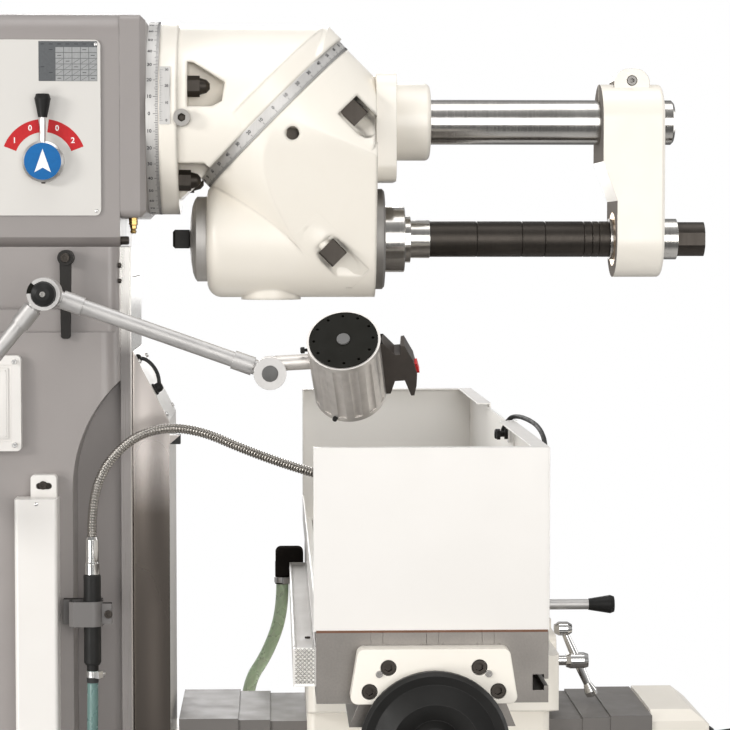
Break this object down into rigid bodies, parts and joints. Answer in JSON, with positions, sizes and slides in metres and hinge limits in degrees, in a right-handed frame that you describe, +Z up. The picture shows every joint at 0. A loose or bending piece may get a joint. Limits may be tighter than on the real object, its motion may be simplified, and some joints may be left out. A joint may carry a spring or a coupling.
{
  "type": "universal milling machine",
  "caption": "Knee-type universal milling machine with two-axis swivel head set horizontal, arbor and overarm support, guarded T-slot table, coolant hoses and jointed work lamp.",
  "frame": {"origin": "centre of the anchor hole pattern on the floor", "axes": "+Z up; X along the table; -Y towards the operator"},
  "size_m": [1.248, 1.672, 1.69],
  "materials": {
    "cream_paint": "smooth semi-gloss paint",
    "grey_paint": "smooth satin paint",
    "panel_paint": "satin printed plate",
    "steel": "ground",
    "black_steel": "black oxide",
    "ground_iron": "ground",
    "bronze": "machined",
    "black_plastic": "satin",
    "bright_hose": "bright",
    "green_hose": "translucent smooth",
    "lamp_metal": "satin",
    "lamp_glass": "clear"
  },
  "bodies": {
    "frame": {"base": "grey_paint", "elevating_nut": "ground_iron", "column": "grey_paint", "vertical_ways": "steel", "column_covers": "cream_paint", "coolant_tap": "black_plastic", "hose_fittings": "bright_hose", "gooseneck_hose": "bright_hose", "supply_hose": "green_hose", "lamp_bracket": "black_steel"},
    "ram": {"ram": "grey_paint", "ram_flange": "grey_paint", "swivel_scale_ring": "steel", "panel_plate": "panel_paint", "spindle_motor": "grey_paint", "shaft_bearings": "steel"},
    "drive_shaft": {"drive_shaft": "steel"},
    "selector": {"selector_lever": "black_plastic"},
    "ram_clamp": {"ram_clamp_lever": "black_steel"},
    "swivel": {"swivel_bracket": "cream_paint", "swivel_studs": "black_steel", "tilt_scale_ring": "steel"},
    "head": {"head_casting": "cream_paint", "tilt_bolts": "black_steel", "spindle_caps": "steel", "head_bearings": "steel", "overarm_bracket": "cream_paint", "overarm_bar": "steel"},
    "angle_shaft": {"angle_shaft": "steel"},
    "support": {"arbor_support": "cream_paint", "support_bush": "bronze"},
    "spindle": {"spindle": "steel", "drawbar": "black_steel", "arbor": "steel", "arbor_spacers": "black_steel"},
    "knee": {"knee": "cream_paint", "knee_front_bracket": "cream_paint", "way_cover_outer": "steel", "way_hood": "cream_paint"},
    "elevating_screw": {"elevating_screw": "steel"},
    "elevating_crank": {"elevating_crank": "black_steel"},
    "cross_wheel": {"cross_handwheel": "black_plastic"},
    "cover_middle": {"way_cover_middle": "steel"},
    "saddle": {"saddle": "cream_paint", "apron": "cream_paint", "way_cover_inner": "steel", "drain_hose": "green_hose"},
    "ball_crank": {"ball_crank": "steel"},
    "feed_lever": {"feed_lever": "steel"},
    "table": {"table": "ground_iron", "end_brackets": "cream_paint", "bracket_screws": "black_steel", "splash_guard": "cream_paint", "coolant_trough": "cream_paint"},
    "table_wheel": {"table_handwheel": "black_plastic"},
    "lamp_lower": {"lamp_lower_arm": "lamp_metal"},
    "lamp_upper": {"lamp_upper_arm": "lamp_metal"},
    "lamp_head": {"lamp_housing": "lamp_metal", "lamp_lens": "lamp_glass", "lamp_fittings": "black_plastic"}
  },
  "joints": [
    {"name": "ram_slide", "type": "slide", "parent": "frame", "child": "ram", "axis": [0, -1, 0], "range_m": [-0.03, 0.35]},
    {"name": "drive_spin", "type": "hinge", "parent": "ram", "child": "drive_shaft", "pos_m": [0, 0.3, 1.561], "axis": [0, 1, 0], "continuous": true},
    {"name": "selector_turn", "type": "hinge", "parent": "ram", "child": "selector", "pos_m": [-0.1345, 0.222, 1.499], "axis": [1, 0, 0], "range_deg": [-60, 60]},
    {"name": "ram_clamp_turn", "type": "hinge", "parent": "frame", "child": "ram_clamp", "pos_m": [-0.165, 0.192, 1.376], "axis": [1, 0, 0], "range_deg": [0, 60]},
    {"name": "head_swivel", "type": "hinge", "parent": "ram", "child": "swivel", "pos_m": [0, 0.076, 1.561], "axis": [0, -1, 0], "range_deg": [-90, 90]},
    {"name": "head_tilt", "type": "hinge", "parent": "swivel", "child": "head", "pos_m": [0, -0.08, 1.561], "axis": [0, 0.7071, 0.7071], "range_deg": [0, 80]},
    {"name": "angle_spin", "type": "hinge", "parent": "head", "child": "angle_shaft", "pos_m": [0, -0.08, 1.561], "axis": [0, -0.7071, -0.7071], "continuous": true},
    {"name": "spindle_spin", "type": "hinge", "parent": "head", "child": "spindle", "pos_m": [0, -0.241, 1.4], "axis": [0, 1, 0], "continuous": true},
    {"name": "support_slide", "type": "slide", "parent": "head", "child": "support", "axis": [0, -1, 0], "range_m": [0, 0.015]},
    {"name": "knee_lift", "type": "slide", "parent": "frame", "child": "knee", "axis": [0, 0, 1], "range_m": [-0.12, 0.07]},
    {"name": "elevating_screw_turn", "type": "hinge", "parent": "knee", "child": "elevating_screw", "pos_m": [0, -0.23, 0.3], "axis": [0, 0, 1], "range_deg": [-9000, 5400]},
    {"name": "elevating_crank_turn", "type": "hinge", "parent": "knee", "child": "elevating_crank", "pos_m": [0, -0.6, 0.47], "axis": [0, -1, 0], "range_deg": [-9000, 5400]},
    {"name": "saddle_cross", "type": "slide", "parent": "knee", "child": "saddle", "axis": [0, 1, 0], "range_m": [-0.055, 0.045]},
    {"name": "cross_wheel_turn", "type": "hinge", "parent": "knee", "child": "cross_wheel", "pos_m": [0, -0.6, 0.66], "axis": [0, 1, 0], "range_deg": [-4500, 4500]},
    {"name": "cover_slide", "type": "slide", "parent": "knee", "child": "cover_middle", "axis": [0, 1, 0], "range_m": [-0.0275, 0.0225]},
    {"name": "ball_crank_turn", "type": "hinge", "parent": "saddle", "child": "ball_crank", "pos_m": [0, -0.485, 0.826], "axis": [0, 1, 0], "range_deg": [-4600, 4600]},
    {"name": "feed_lever_turn", "type": "hinge", "parent": "saddle", "child": "feed_lever", "pos_m": [0, -0.421, 0.903], "axis": [0, 0, 1], "range_deg": [-20, 20]},
    {"name": "table_feed", "type": "slide", "parent": "saddle", "child": "table", "axis": [-1, 0, 0], "range_m": [-0.25, 0.25], "deforming": ["drain_hose"]},
    {"name": "table_wheel_turn", "type": "hinge", "parent": "table", "child": "table_wheel", "pos_m": [-0.55, -0.2515, 0.835], "axis": [1, 0, 0], "range_deg": [-18500, 18500]},
    {"name": "lamp_base_turn", "type": "hinge", "parent": "frame", "child": "lamp_lower", "pos_m": [-0.3, 0.389, 1.106], "axis": [-1, 0, 0], "range_deg": [-5, 20]},
    {"name": "lamp_elbow_turn", "type": "hinge", "parent": "lamp_lower", "child": "lamp_upper", "pos_m": [-0.3, 0.206, 1.333], "axis": [-1, 0, 0], "range_deg": [-5, 20]},
    {"name": "lamp_wrist_turn", "type": "hinge", "parent": "lamp_upper", "child": "lamp_head", "pos_m": [-0.3, -0.068, 1.236], "axis": [-1, 0, 0], "range_deg": [-20, 30]}
  ],
  "couplings": [
    {"joint": "drive_spin", "follows": "spindle_spin", "ratio": -1},
    {"joint": "angle_spin", "follows": "spindle_spin", "ratio": 1},
    {"joint": "elevating_screw_turn", "follows": "knee_lift", "rad_per_m": 1256.6},
    {"joint": "elevating_crank_turn", "follows": "knee_lift", "rad_per_m": 1256.6},
    {"joint": "cross_wheel_turn", "follows": "saddle_cross", "rad_per_m": -1256.6},
    {"joint": "cover_slide", "follows": "saddle_cross", "ratio": 0.5},
    {"joint": "ball_crank_turn", "follows": "table_feed", "rad_per_m": 314.16},
    {"joint": "table_wheel_turn", "follows": "table_feed", "rad_per_m": 1256.6}
  ]
}
